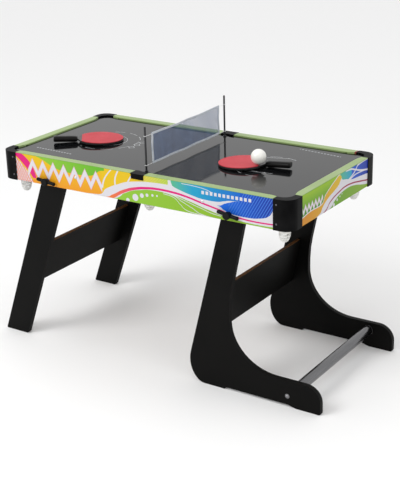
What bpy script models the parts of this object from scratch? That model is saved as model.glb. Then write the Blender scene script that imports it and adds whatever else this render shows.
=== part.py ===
"""Folding four-foot games table: a six-pocket pool bed under a lift-out table-tennis board.

Frame: X along the table, Y across it (front is -Y), Z up from the floor. The origin is on the
floor under the middle of the whole object. Units are metres.
"""

from math import acos, atan2, cos, degrees, hypot, pi, radians, sin

import bmesh
import bpy
from mathutils import Matrix, Vector

# Driving dimensions
LENGTH = 1.22
WIDTH = 0.61
RAIL_TOP = 0.7415
APRON_BOTTOM = 0.636
BOARD_TOP = 0.7355
FOOT_OUTSIDE_LEFT = 0.0695
TOE_OUTSIDE_RIGHT = 0.1025
GAP = 0.0003

# Stations that follow from them
LEFT_END = (FOOT_OUTSIDE_LEFT - TOE_OUTSIDE_RIGHT - LENGTH) / 2
RIGHT_END = LEFT_END + LENGTH
MIDDLE = LEFT_END + LENGTH / 2
SIDE = WIDTH / 2

# Table box
APRON_THICK = 0.015
APRON_TOP = 0.7394
APRON_END_INSET = 0.0155
APRON_CORNER = 0.0385
RAIL_REACH = 0.036
RAIL_FLANGE = 0.7397
NOSE_UNDERCUT = 0.009
NOSE_ROUND = 0.0035
NOSE_SLOPE = 0.008
JAW_START = 0.0235
JAW_LENGTH = 0.044
BED_INSET = 0.036
BED_UNDER = 0.7082
BED_TOP = 0.7190
CLOTH_TOP = 0.7202
BEAM_STATIONS = (0.343, 0.882)
BEAM_HALF = 0.020
BEAM_UNDER = 0.668
SCREW_HEIGHT = 0.686

# Pockets
POCKET_INSET = 0.0565
MIDDLE_POCKET_INSET = 0.0645
MIDDLE_POCKET = MIDDLE + 0.008
POCKET_RADIUS = 0.0285
CAP_REACH = 0.0665
CAP_PROUD = 0.003
CAP_WALL = 0.0025
CAP_BOTTOM = 0.635
CAP_TOP = 0.7412
CAP_CORNER = 0.042
COLLAR_UNDER = 0.7397
COLLAR_LIP_UNDER = 0.7222
COLLAR_INSET = 0.0225
COLLAR_CORNER = 0.034
CASTING_HALF = 0.029
CASTING_LIP_HALF = 0.0255
CASTING_PROUD = 0.0035
CASTING_INSET = 0.0355
CASTING_MOUTH = 0.0325
NET_TOP = 0.7079
MIDDLE_NET_BOTTOM = 0.590
CORNER_NET_BOTTOM = 0.576
NET_WALL = 0.0015

# Legs
LEG_THICK = 0.018
LEG_GAP = 0.0008
LEFT_PIVOT = (LEFT_END + 0.2125, 0.6535)
RIGHT_PIVOT = (LEFT_END + 0.988, 0.6595)
STRAIGHT_LEAN = 0.3746
STRAIGHT_WIDTH = 0.109
STRAIGHT_HEAD = 0.051
STRAIGHT_HEAD_HEIGHT = 0.6334
FOOT_NIB = 0.004
PANEL_THICK = 0.012
LEFT_PANEL = (0.208, 0.377)
RIGHT_PANEL = ((0.895, 0.200), (0.929, 0.374))
TUBE_CENTRE = (LEFT_END + 1.225, 0.0675)
TUBE_RADIUS = 0.019
TUBE_WALL = 0.0015
LUG_BOLT = (LEFT_END + 1.197, 0.040)
LUG_RADIUS = 0.011
LUG_THICK = 0.003

# Clamping knobs and their hardware
STUD_RADIUS = 0.004
STUD_HOLE = 0.0045
COLLAR_RADIUS = 0.0085
HUB_RADIUS = 0.0140
HUB_START = 0.007
HUB_LENGTH = 0.025
HANDLE_HEIGHT = 0.0105
HANDLE_LENGTH = 0.086
HANDLE_RADIUS = 0.0058
HANDLE_END_RADIUS = 0.0075
NUT_BARREL = 0.0055
NUT_FLANGE = 0.009
NUT_BORE = 0.0043

# Lift-out board and what stands on it
BOARD_THICK = 0.015
BOARD_INSET = RAIL_REACH + 0.0008
BOARD_EAR_INSET = 0.0250
BOARD_CORNER = 0.0315
NET_STATION = MIDDLE + 0.009
POST_SIDE = SIDE - 0.0535
POST_RADIUS = 0.0035
POST_TOP = 0.8945
PEG_DEPTH = 0.010
TENNIS_NET = (-0.215, 0.215, 0.754, 0.865)
BALL_RADIUS = 0.027

# Paddle, along its own axis from handle to blade
BLADE_LONG = 0.086
BLADE_WIDE = 0.079
BLADE_THICK = 0.0055
RUBBER_THICK = 0.002
RUBBER_START = -0.070
HANDLE_START = -0.086
HANDLE_END = -0.177
GRIP_WIDE = 0.033
GRIP_THICK = 0.023
TANG_WIDE = 0.022
BALL_SPOT = (-0.069, 0.027)

ROUND = 20
COLLECTION = "folding_games_table"


# ---------------------------------------------------------------- scene and materials


def clear_scene():
    for old in list(bpy.data.objects):
        bpy.data.objects.remove(old)
    collection = bpy.data.collections.new(COLLECTION)
    bpy.context.scene.collection.children.link(collection)
    cutters = bpy.data.collections.new("cutters")
    bpy.context.scene.collection.children.link(cutters)


def material(name, colour, roughness, metallic=0.0):
    made = bpy.data.materials.new(name)
    made.use_nodes = True
    shader = made.node_tree.nodes["Principled BSDF"]
    shader.inputs["Base Color"].default_value = (*colour, 1.0)
    shader.inputs["Roughness"].default_value = roughness
    shader.inputs["Metallic"].default_value = metallic
    return made


def keep(obj, name, surface):
    """Names the object, gives it its material and files it with the parts."""
    obj.name = name
    obj.data.name = name
    obj.data.materials.clear()
    obj.data.materials.append(surface)
    for collection in list(obj.users_collection):
        collection.objects.unlink(obj)
    bpy.data.collections[COLLECTION].objects.link(obj)
    return obj


def soften(obj, width, segments=2):
    """Rounds the sharp edges."""
    bevel = obj.modifiers.new("edges", "BEVEL")
    bevel.width = width
    bevel.segments = segments
    bevel.limit_method = "ANGLE"
    bevel.angle_limit = radians(40)
    return obj


def smooth(obj, angle=35):
    obj.data.shade_smooth()
    obj.data.set_sharp_from_angle(angle=radians(angle))
    return obj


# ---------------------------------------------------------------- basic solids


def box(low, high):
    low = Vector(low)
    high = Vector(high)
    bpy.ops.mesh.primitive_cube_add(size=1.0)
    obj = bpy.context.object
    size = high - low
    obj.data.transform(Matrix.Translation((low + high) / 2) @ Matrix.Diagonal((*size, 1.0)))
    return obj


def rod(start, end, radius, sides=ROUND, end_radius=None):
    """A round bar, or a cone frustum, between two points."""
    start = Vector(start)
    end = Vector(end)
    along = end - start
    tip = radius if end_radius is None else end_radius
    bpy.ops.mesh.primitive_cone_add(vertices=sides, radius1=radius, radius2=tip, depth=along.length)
    obj = bpy.context.object
    turn = along.to_track_quat("Z", "Y").to_matrix().to_4x4()
    obj.data.transform(Matrix.Translation((start + end) / 2) @ turn)
    return obj


def ball(centre, radius, segments=12, rings=8):
    bpy.ops.mesh.primitive_uv_sphere_add(radius=radius, segments=segments, ring_count=rings)
    obj = bpy.context.object
    obj.data.transform(Matrix.Translation(centre))
    return obj


def as_mesh(curve_object):
    """The curve's evaluated mesh as a new object, with its caps welded."""
    bpy.context.view_layer.update()
    graph = bpy.context.evaluated_depsgraph_get()
    mesh = bpy.data.meshes.new_from_object(curve_object.evaluated_get(graph))
    welded = bmesh.new()
    welded.from_mesh(mesh)
    bmesh.ops.remove_doubles(welded, verts=welded.verts, dist=1e-6)
    bmesh.ops.recalc_face_normals(welded, faces=welded.faces)
    welded.to_mesh(mesh)
    welded.free()
    obj = bpy.data.objects.new(curve_object.name, mesh)
    obj.matrix_world = curve_object.matrix_world
    bpy.context.scene.collection.objects.link(obj)
    bpy.data.objects.remove(curve_object)
    return obj


def plate(points, thickness, turn, origin):
    """A flat outline of thickness, centred on its own plane, turned and moved into place."""
    curve = bpy.data.curves.new("outline", "CURVE")
    curve.dimensions = "2D"
    curve.fill_mode = "BOTH"
    curve.extrude = thickness / 2
    spline = curve.splines.new("POLY")
    spline.points.add(len(points) - 1)
    for point, (across, up) in zip(spline.points, points):
        point.co = (across, up, 0.0, 1.0)
    spline.use_cyclic_u = True
    holder = bpy.data.objects.new("outline", curve)
    bpy.context.scene.collection.objects.link(holder)
    solid = as_mesh(holder)
    solid.data.transform(Matrix.Translation(origin) @ turn)
    return solid


UPRIGHT = Matrix.Rotation(pi / 2, 4, "X")
LEVEL = Matrix.Identity(4)


def upright_board(points, side, inner, outer):
    """A board on edge, in the XZ plane, between two distances from the table's middle line."""
    middle = side * (inner + outer) / 2
    return plate(points, outer - inner, UPRIGHT, (0, middle, 0))


def turned(profile, centre, steps=ROUND):
    """A lathe solid: the profile is (radius, height), ending on the axis or closing on itself."""
    mesh = bpy.data.meshes.new("profile")
    edges = [(i, i + 1) for i in range(len(profile) - 1)]
    if profile[0][0] > 0:
        edges.append((len(profile) - 1, 0))
    mesh.from_pydata([(radius, 0, height) for radius, height in profile], edges, [])
    obj = bpy.data.objects.new("turned", mesh)
    bpy.context.scene.collection.objects.link(obj)
    screw = obj.modifiers.new("lathe", "SCREW")
    screw.steps = steps
    screw.render_steps = steps
    screw.use_merge_vertices = True
    screw.merge_threshold = 0.00001
    solid = as_mesh(obj)
    solid.data.transform(Matrix.Translation(centre))
    return solid


def combine(obj, other, operation):
    """Cuts or joins two meshes and keeps the first."""
    step = obj.modifiers.new(operation, "BOOLEAN")
    step.operation = operation
    step.object = other
    step.solver = "EXACT"
    bpy.context.view_layer.update()
    graph = bpy.context.evaluated_depsgraph_get()
    mesh = bpy.data.meshes.new_from_object(obj.evaluated_get(graph))
    obj.modifiers.clear()
    obj.data = mesh
    bpy.data.objects.remove(other)
    return obj


def cut(obj, *others):
    for other in others:
        combine(obj, other, "DIFFERENCE")
    return obj


def join(obj, *others):
    for other in others:
        combine(obj, other, "UNION")
    return obj


def arc(centre, reach, start, end, count):
    """Points on a circle, or on an ellipse if reach is a pair, from one angle to another."""
    wide, tall = reach if isinstance(reach, tuple) else (reach, reach)
    angles = [radians(start + (end - start) * i / count) for i in range(count + 1)]
    return [(centre[0] + wide * cos(a), centre[1] + tall * sin(a)) for a in angles]


# ---------------------------------------------------------------- table box


def make_apron(long, sign, name, surface):
    """A long or an end apron: a board on edge whose ends are rounded to sit inside the corner caps."""
    steep = degrees(acos((APRON_CORNER - APRON_END_INSET) / APRON_CORNER))
    rounded = arc((APRON_CORNER, APRON_CORNER), APRON_CORNER, 180 + steep, 270, 4)
    reach = LENGTH / 2 if long else SIDE
    half = [(reach - a, b) for a, b in rounded]
    half = [(reach - APRON_END_INSET, APRON_THICK)] + half
    outline = half + [(-along, inset) for along, inset in half[::-1]]
    if long:
        outline = [(MIDDLE + along, sign * (SIDE - inset)) for along, inset in outline]
    else:
        outline = [(MIDDLE + sign * (LENGTH / 2 - inset), along) for along, inset in outline]
    height = APRON_TOP - APRON_BOTTOM
    apron = plate(outline, height, LEVEL, (0, 0, APRON_BOTTOM + height / 2))
    if long:
        bore_long_apron(apron, sign)
    return keep(soften(apron, 0.0006, 1), name, surface)


def bore_long_apron(apron, side):
    """Holes for the leg studs and for the screws into the bed's beams."""
    holes = [(x, z, STUD_HOLE, ROUND) for x, z in (LEFT_PIVOT, RIGHT_PIVOT)]
    holes += [(LEFT_END + station, SCREW_HEIGHT, 0.0025, 12) for station in BEAM_STATIONS]
    for x, z, radius, sides in holes:
        cut(apron, rod((x, side * (SIDE + 0.01), z), (x, side * (SIDE - 0.03), z), radius, sides))


def pocket_centres():
    """Every pocket as (name, x, y)."""
    columns = (
        ("left", LEFT_END + POCKET_INSET, POCKET_INSET),
        ("middle", MIDDLE_POCKET, MIDDLE_POCKET_INSET),
        ("right", RIGHT_END - POCKET_INSET, POCKET_INSET),
    )
    rows = (("front", -1), ("back", 1))
    centres = []
    for row, side in rows:
        centres += [(f"{row}_{column}", x, side * (SIDE - inset)) for column, x, inset in columns]
    return centres


def make_bed(name, under, top, surface):
    bed = box(
        (LEFT_END + APRON_END_INSET, -SIDE + BED_INSET, under),
        (RIGHT_END - APRON_END_INSET, SIDE - BED_INSET, top),
    )
    for _, x, y in pocket_centres():
        cut(bed, rod((x, y, under - 0.01), (x, y, top + 0.01), POCKET_RADIUS))
    return keep(bed, name, surface)


def make_beam(name, station, surface):
    x = LEFT_END + station
    beam = box(
        (x - BEAM_HALF, -SIDE + BED_INSET, BEAM_UNDER),
        (x + BEAM_HALF, SIDE - BED_INSET, BED_UNDER - GAP),
    )
    return keep(soften(beam, 0.0015, 1), name, surface)


def rail_section():
    """Cushion rail from the table's outer face inwards: a flange over the apron, then the nose."""
    inner_face = APRON_THICK + GAP
    underside = CLOTH_TOP + 0.0016
    return [
        (0.0, RAIL_FLANGE),
        (inner_face, RAIL_FLANGE),
        (inner_face, underside),
        (RAIL_REACH - NOSE_UNDERCUT, underside),
        (RAIL_REACH, RAIL_TOP - 0.0085),
        (RAIL_REACH, RAIL_TOP - 0.0053),
        (RAIL_REACH - NOSE_ROUND, RAIL_TOP - 0.0015),
        (RAIL_REACH - NOSE_SLOPE, RAIL_TOP),
        (0.0016, RAIL_TOP),
        (0.0004, RAIL_TOP - 0.0004),
        (0.0, RAIL_TOP - 0.0010),
    ]


def slant_end(rail, corner, inward, sideways):
    """Cuts a pocket jaw on a rail's end. Both directions are unit vectors in plan."""
    turn = Matrix((
        (-inward[0], sideways[0], 0, 0),
        (-inward[1], sideways[1], 0, 0),
        (0, 0, 1, 0),
        (0, 0, 0, 1),
    ))
    start = Vector(corner) + Vector(sideways) * JAW_START
    slant = atan2(RAIL_REACH - JAW_START, JAW_LENGTH)
    block = box((-0.1, 0, 0.70), (0.1, 0.1, 0.76))
    block.data.transform(Matrix.Rotation(-slant, 4, "Z"))
    block.data.transform(Matrix.Translation((start.x, start.y, 0)) @ turn)
    if turn.determinant() < 0:
        block.data.flip_normals()
    return cut(rail, block)


def make_long_rail(side, start, end, jaw_at_end, name, surface):
    section = [(side * (SIDE - inset), z) for inset, z in rail_section()]
    turn = Matrix.Rotation(pi / 2, 4, "Z") @ Matrix.Rotation(pi / 2, 4, "X")
    rail = plate(section, end - start, turn, ((start + end) / 2, 0, 0))
    corner, inward = ((end, side * SIDE), (-1, 0)) if jaw_at_end else ((start, side * SIDE), (1, 0))
    return keep(slant_end(rail, corner, inward, (0, -side)), name, surface)


def make_end_rail(end, name, surface):
    edge = RIGHT_END if end > 0 else LEFT_END
    section = [(edge - end * inset, z) for inset, z in rail_section()]
    reach = SIDE - CAP_REACH - GAP
    rail = plate(section, 2 * reach, UPRIGHT, (0, 0, 0))
    for side in (-1, 1):
        slant_end(rail, (edge, side * reach), (0, -side), (-end, 0))
    return keep(rail, name, surface)


def corner_outline(end, side, inset, radius, reach):
    """A square with one round corner, in plan: its sides lie an inset in from the table's faces."""
    corner_x = RIGHT_END if end > 0 else LEFT_END
    points = arc((inset + radius, inset + radius), radius, 180, 270, 8)
    points += [(reach, inset), (reach, reach), (inset, reach)]
    return [(corner_x - end * px, side * (SIDE - py)) for px, py in points]


def level_slab(outline, low, high):
    return plate(outline, high - low, LEVEL, (0, 0, (low + high) / 2))


def make_corner_cap(end, side, name, surface):
    """The moulded corner: a round-cornered skirt outside the aprons and a collar round the pocket."""
    beyond = CAP_REACH + 0.02
    skin = CAP_WALL - CAP_PROUD
    skin_corner = CAP_CORNER - CAP_WALL
    behind = APRON_THICK + 0.0006
    outer = corner_outline(end, side, -CAP_PROUD, CAP_CORNER, CAP_REACH)
    cap = level_slab(outer, CAP_BOTTOM, CAP_TOP)
    hollow = corner_outline(end, side, skin, skin_corner, beyond)
    below = level_slab(hollow, CAP_BOTTOM - 0.01, COLLAR_LIP_UNDER)
    slot = level_slab(hollow, COLLAR_LIP_UNDER - 0.002, COLLAR_UNDER)
    lip_corner = CAP_CORNER - CAP_PROUD - behind
    lip = level_slab(corner_outline(end, side, behind, lip_corner, beyond + 0.01), CAP_BOTTOM, CAP_TOP)
    mouth = corner_outline(end, side, COLLAR_INSET, COLLAR_CORNER, beyond)
    return keep(cut(cap, below, cut(slot, lip), level_slab(mouth, 0.70, 0.76)), name, surface)


def make_side_casting(side, name, surface):
    """The middle pocket's casting: it straddles the apron, with a lip down the outer face."""

    def slab(half, outer, inner, low, high):
        near, far = sorted((side * (SIDE + outer), side * (SIDE - inner)))
        return box((MIDDLE_POCKET - half, near, low), (MIDDLE_POCKET + half, far, high))

    casting = slab(CASTING_HALF, CASTING_PROUD, CASTING_INSET, COLLAR_LIP_UNDER, CAP_TOP)
    slot = slab(0.05, GAP, APRON_THICK + 0.0006, 0.70, COLLAR_UNDER)
    y = side * (SIDE - MIDDLE_POCKET_INSET)
    mouth = rod((MIDDLE_POCKET, y, 0.70), (MIDDLE_POCKET, y, 0.76), CASTING_MOUTH, 32)
    cut(casting, slot, mouth)
    for hand in (-1, 1):
        shoulder = slab(0.01, 0.02, -GAP, 0.70, CAP_TOP - 0.002)
        shoulder.data.transform(Matrix.Translation((hand * (CASTING_LIP_HALF + 0.01), 0, 0)))
        cut(casting, shoulder)
    return keep(soften(casting, 0.0008, 1), name, surface)


def make_ball_net(name, x, y, bottom, surface):
    """A mesh bag under a pocket, open at the top and narrower below the rim."""
    drop = NET_TOP - bottom
    waist = [(0.0283, 0.0), (0.0240, 0.15), (0.0208, 0.36), (0.0205, 0.66), (0.0180, 0.86), (0.0120, 0.96)]
    shape = [(radius, NET_TOP - share * drop) for radius, share in waist] + [(0.0060, bottom)]
    rising = (0, 0, 0, 0, 0, NET_WALL, NET_WALL)
    inner = [(radius - NET_WALL, height + lift) for (radius, height), lift in zip(shape, rising)]
    profile = [(0.0, bottom + NET_WALL)] + inner[::-1] + shape + [(0.0, bottom)]
    return keep(smooth(turned(profile, (x, y, 0), 16)), name, surface)


def make_apron_screw(side, station, name, surface):
    x = LEFT_END + station
    dome = [(0.0, 0.0025), (0.0030, 0.0022), (0.0047, 0.0009), (0.0048, 0.0), (0.0, 0.0)]
    head = turned(dome, (0, 0, 0), 16)
    shank = rod((0, 0, 0.0005), (0, 0, -0.0135), 0.0021, 12)
    screw = join(head, shank)
    screw.data.transform(Matrix.Rotation(side * -pi / 2, 4, "X"))
    screw.data.transform(Matrix.Translation((x, side * (SIDE + GAP), SCREW_HEIGHT)))
    return keep(smooth(screw), name, surface)


# ---------------------------------------------------------------- legs


def leg_faces():
    """Distances of a leg board's inner and outer face from the table's middle line."""
    outer = SIDE - APRON_THICK - LEG_GAP
    return outer - LEG_THICK, outer


def bore_for_nut(leg, side, pivot):
    inner, outer = leg_faces()
    x, z = pivot
    through = rod((x, side * (outer + 0.01), z), (x, side * (inner - 0.01), z), STUD_HOLE)
    pocket = rod((x, side * (inner + 0.0105), z), (x, side * (inner - 0.01), z), NUT_BARREL + GAP)
    return cut(leg, through, pocket)


def straight_leg_axis(height):
    """X of the leaning plank's middle line at a height."""
    on_floor = LEFT_END - FOOT_OUTSIDE_LEFT - STRAIGHT_LEAN * FOOT_NIB + STRAIGHT_WIDTH / 2
    return on_floor + STRAIGHT_LEAN * height


def straight_leg_outline():
    """A leaning plank: cut level at the floor, round at its head."""
    lean = atan2(STRAIGHT_LEAN, 1.0)
    centre = (straight_leg_axis(STRAIGHT_HEAD_HEIGHT), STRAIGHT_HEAD_HEIGHT)
    head = arc(centre, STRAIGHT_HEAD, -degrees(lean), 180 - degrees(lean), 16)
    half = STRAIGHT_WIDTH / 2
    left = straight_leg_axis(0.0) - half
    right = straight_leg_axis(0.0) + half
    sole = [(left + FOOT_NIB, 0.0), (right - FOOT_NIB, 0.0)]
    shift = STRAIGHT_LEAN * FOOT_NIB
    return sole + [(right + shift, FOOT_NIB)] + head + [(left + shift, FOOT_NIB)]


def make_straight_leg(side, name, surface):
    inner, outer = leg_faces()
    leg = upright_board(straight_leg_outline(), side, inner, outer)
    return keep(soften(bore_for_nut(leg, side, LEFT_PIVOT), 0.0010, 1), name, surface)


def l_leg_outline():
    """An upright that leans, sweeps round and runs out as a foot with a heel and a toe pad."""
    at = LEFT_END
    heel = arc((at + 0.8625, 0.083), (0.060, 0.083), 160, 270, 12)
    sole = [(at + 0.945, 0.0), (at + 0.952, 0.0075), (at + 1.200, 0.0075), (at + 1.228, 0.0)]
    toe = arc((at + 1.3165, 0.006), 0.006, -90, 0, 3)
    toe += arc((at + 1.2625, 0.040), (0.060, 0.0575), 0, 90, 10)
    sweep = arc((at + 1.150, 0.260), (0.181, 0.1625), 270, 180, 14)
    shin = [(at + 0.9692, 0.300), (at + 0.9725, 0.345), (at + 0.980, 0.390)]
    head = arc((at + 0.991, 0.640), 0.0432, -13, 167, 14)
    return heel + sole + toe + sweep + shin + head


def make_l_leg(side, name, surface):
    inner, outer = leg_faces()
    leg = upright_board(l_leg_outline(), side, inner, outer)
    x, z = LUG_BOLT
    cut(leg, rod((x, side * (outer + 0.01), z), (x, side * (inner - 0.01), z), STUD_HOLE))
    return keep(soften(bore_for_nut(leg, side, RIGHT_PIVOT), 0.0010, 1), name, surface)


def make_cross_panel(low, high, name, surface):
    """A board between a pair of legs, its lower and upper edges at (x, z)."""
    inner, _ = leg_faces()
    reach = inner - GAP
    height = hypot(high[0] - low[0], high[1] - low[1])
    panel = box((-PANEL_THICK / 2, -reach, -height / 2), (PANEL_THICK / 2, reach, height / 2))
    lean = Matrix.Rotation(atan2(high[0] - low[0], high[1] - low[1]), 4, "Y")
    middle = Vector(((low[0] + high[0]) / 2, 0, (low[1] + high[1]) / 2))
    panel.data.transform(Matrix.Translation(middle) @ lean)
    return keep(soften(panel, 0.0008, 1), name, surface)


def make_leg_nut(side, pivot, name, surface):
    """A flanged nut, let into the leg's inner face."""
    inner, _ = leg_faces()
    profile = [(NUT_BORE, 0.010), (NUT_BARREL, 0.010), (NUT_BARREL, 0.0)]
    profile += [(NUT_BARREL, -GAP), (NUT_FLANGE, -GAP), (NUT_FLANGE, -0.0017), (NUT_BORE, -0.0017)]
    nut = turned(profile, (0, 0, 0), ROUND)
    nut.data.transform(Matrix.Rotation(side * -pi / 2, 4, "X"))
    nut.data.transform(Matrix.Translation((pivot[0], side * inner, pivot[1])))
    return keep(smooth(nut), name, surface)


def make_foot_tube(name, surface):
    """The tube between the feet, with a lug welded across each end for its bolt."""
    inner, _ = leg_faces()
    reach = inner - GAP
    x, z = TUBE_CENTRE
    bolt_x, bolt_z = LUG_BOLT
    heading = degrees(atan2(z - bolt_z, x - bolt_x))
    outline = arc(TUBE_CENTRE, TUBE_RADIUS + 0.001, heading - 78, heading + 78, 12)
    outline += arc(LUG_BOLT, LUG_RADIUS, heading + 102, heading + 258, 8)
    tube = rod((x, -reach + 0.001, z), (x, reach - 0.001, z), TUBE_RADIUS, 28)
    for side in (-1, 1):
        join(tube, upright_board(outline, side, reach - LUG_THICK, reach))
    ends = reach + 0.01
    bore = rod((x, -ends, z), (x, ends, z), TUBE_RADIUS - TUBE_WALL, 28)
    bolt_hole = rod((bolt_x, -ends, bolt_z), (bolt_x, ends, bolt_z), STUD_RADIUS + GAP, 12)
    return keep(smooth(cut(tube, bore, bolt_hole)), name, surface)


def make_foot_bolt(side, name, surface):
    """A dome-headed bolt with its washer, through the foot and the tube's lug."""
    inner, outer = leg_faces()
    x, z = LUG_BOLT
    head = [(0.0, 0.0050), (0.0030, 0.0044), (0.0052, 0.0026), (0.0058, 0.0012)]
    head += [(0.0084, 0.0010), (0.0084, 0.0), (0.0, 0.0)]
    bolt = turned(head, (0, 0, 0), 16)
    tip = outer - inner + GAP + LUG_THICK + 0.005
    bolt = join(bolt, rod((0, 0, 0.0005), (0, 0, -tip), STUD_RADIUS, 12))
    bolt.data.transform(Matrix.Rotation(side * -pi / 2, 4, "X"))
    bolt.data.transform(Matrix.Translation((x, side * (outer + GAP), z)))
    return keep(smooth(bolt), name, surface)


def make_knob(side, pivot, tilt, name, surface):
    """A T-handle: collar on the apron, cross bar, round hub in front, stud into the leg's nut."""
    inner, _ = leg_faces()
    collar = rod((0, 0, 0), (0, 0, HANDLE_HEIGHT), COLLAR_RADIUS, 16)
    hub = soften(rod((0, 0, HUB_START), (0, 0, HUB_LENGTH), HUB_RADIUS, 20), 0.0025, 2)
    reach = HANDLE_LENGTH / 2 - HANDLE_END_RADIUS
    handle = rod((-reach, 0, HANDLE_HEIGHT), (reach, 0, HANDLE_HEIGHT), HANDLE_RADIUS, 14)
    ends = [ball((offset, 0, HANDLE_HEIGHT), HANDLE_END_RADIUS) for offset in (-reach, reach)]
    stud_end = -(SIDE + GAP - inner + 0.0030)
    stud = rod((0, 0, 0.002), (0, 0, stud_end), STUD_RADIUS, 14)
    knob = join(collar, hub, handle, *ends, stud)
    knob.data.transform(Matrix.Rotation(radians(tilt), 4, "Z"))
    knob.data.transform(Matrix.Rotation(-side * pi / 2, 4, "X"))
    knob.location = (pivot[0], side * (SIDE + GAP), pivot[1])
    return keep(smooth(knob), name, surface)


# ---------------------------------------------------------------- board, net, paddles, ball


def board_quarter():
    """A quarter of the board's outline, as distances in from the table's end and side faces."""
    jaw = CAP_REACH + JAW_LENGTH - 0.0002
    corner = BOARD_EAR_INSET + BOARD_CORNER
    rounded = arc((corner, corner), BOARD_CORNER, 180, 270, 6)
    ear = [(BOARD_EAR_INSET, CAP_REACH)] + rounded + [(CAP_REACH, BOARD_EAR_INSET)]
    return [(BOARD_INSET, jaw)] + ear + [(jaw, BOARD_INSET)]


def make_top_board(name, surface):
    """The lift-out top: straight between the rails, with an ear that fills each pocket's mouth."""
    quarter = [(LENGTH / 2 - a, SIDE - b) for a, b in board_quarter()]
    outline = [(-a, -b) for a, b in quarter] + [(a, -b) for a, b in quarter[::-1]]
    outline += quarter + [(-a, b) for a, b in quarter[::-1]]
    board = plate(outline, BOARD_THICK, LEVEL, (MIDDLE, 0, BOARD_TOP - BOARD_THICK / 2))
    for side in (-1, 1):
        y = side * POST_SIDE
        low = BOARD_TOP - PEG_DEPTH - GAP
        cut(board, rod((NET_STATION, y, low), (NET_STATION, y, 0.75), POST_RADIUS + GAP, 16))
    return keep(soften(board, 0.0008, 1), name, surface)


def make_net_post(side, name, surface):
    y = side * POST_SIDE
    collar = 0.0060
    profile = [
        (0.0, POST_TOP),
        (POST_RADIUS * 0.6, POST_TOP - 0.0004),
        (POST_RADIUS, POST_TOP - 0.0020),
        (POST_RADIUS, BOARD_TOP + GAP + 0.0045),
        (collar, BOARD_TOP + GAP + 0.0030),
        (collar, BOARD_TOP + GAP),
        (POST_RADIUS, BOARD_TOP + GAP),
        (POST_RADIUS, BOARD_TOP - PEG_DEPTH),
        (0.0, BOARD_TOP - PEG_DEPTH),
    ]
    return keep(smooth(turned(profile, (NET_STATION, y, 0), 16)), name, surface)


def make_tennis_net(name, surface):
    """The net as a thin panel, with the four ties that reach out to the posts."""
    near, far, low, high = TENNIS_NET
    net = box((NET_STATION - 0.0006, near, low), (NET_STATION + 0.0006, far, high))
    for side, edge in ((-1, near), (1, far)):
        end = side * (POST_SIDE - POST_RADIUS - GAP)
        for height in (low + 0.002, high - 0.002):
            tie = rod((NET_STATION, edge - side * 0.004, height), (NET_STATION, end, height), 0.0009, 8)
            join(net, tie)
    return keep(net, name, surface)


def paddle_frame(x, y, heading):
    """From the paddle's own frame, blade centre at the origin, to where it lies on the board."""
    drop = GRIP_THICK / 2 - BLADE_THICK / 2 - RUBBER_THICK
    pitch = drop / (BLADE_LONG - HANDLE_START + 0.003)
    lift = BLADE_THICK / 2 + RUBBER_THICK + pitch * BLADE_LONG + 2 * GAP
    tilt = Matrix.Rotation(pitch, 4, "Y")
    place = Matrix.Translation((x, y, BOARD_TOP + lift))
    return place @ Matrix.Rotation(radians(heading), 4, "Z") @ tilt


def blade_outline():
    half = TANG_WIDE / 2
    tip = HANDLE_END + 0.006
    neck = HANDLE_START + 0.001
    shoulder = arc((0.0, 0.0), (BLADE_LONG, BLADE_WIDE), -150, 150, 36)
    return shoulder + [(neck, half), (tip, half), (tip, -half), (neck, -half)]


def rubber_outline():
    """The blade's ellipse, cut straight across near the handle."""
    wide = BLADE_LONG - 0.001
    tall = BLADE_WIDE - 0.001
    edge = degrees(acos(RUBBER_START / wide))
    return arc((0.0, 0.0), (wide, tall), -edge, edge, 36)


def make_paddle(tag, frame, surfaces):
    blade = plate(blade_outline(), BLADE_THICK, LEVEL, (0, 0, 0))
    keep(blade, f"paddle_{tag}_blade", surfaces["plywood"])
    offset = (BLADE_THICK + RUBBER_THICK) / 2 + 0.0002
    for word, height in (("red_rubber", offset), ("black_rubber", -offset)):
        rubber = plate(rubber_outline(), RUBBER_THICK, LEVEL, (0, 0, height))
        keep(rubber, f"paddle_{tag}_{word}", surfaces[word])
        rubber.data.transform(frame)
    blade.data.transform(frame)
    grip = make_grip()
    grip.data.transform(frame)
    keep(grip, f"paddle_{tag}_handle", surfaces["grip"])


def make_grip():
    """The handle's shell, flared at the butt, slotted for the blade's tang."""
    half = GRIP_WIDE / 2
    flare = 0.0025
    outline = [
        (HANDLE_START, -half),
        (HANDLE_START, half),
        (HANDLE_END + 0.035, half),
        (HANDLE_END + 0.004, half + flare),
        (HANDLE_END, half + flare - 0.004),
        (HANDLE_END, -half - flare + 0.004),
        (HANDLE_END + 0.004, -half - flare),
        (HANDLE_END + 0.035, -half),
    ]
    grip = soften(plate(outline, GRIP_THICK, LEVEL, (0, 0, 0)), 0.006, 3)
    slot = box(
        (HANDLE_END + 0.0055, -TANG_WIDE / 2 - GAP, -BLADE_THICK / 2 - GAP),
        (HANDLE_START + 0.01, TANG_WIDE / 2 + GAP, BLADE_THICK / 2 + GAP),
    )
    return smooth(cut(grip, slot))


def make_ball(frame, surface):
    """The white ball, resting on the right-hand paddle's red face near the handle."""
    face = BLADE_THICK / 2 + 0.0002 + RUBBER_THICK
    centre = frame @ Vector((*BALL_SPOT, face + BALL_RADIUS + GAP))
    return keep(smooth(ball(centre, BALL_RADIUS, 20, 14), 60), "white_ball", surface)


# ---------------------------------------------------------------- whole object


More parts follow.
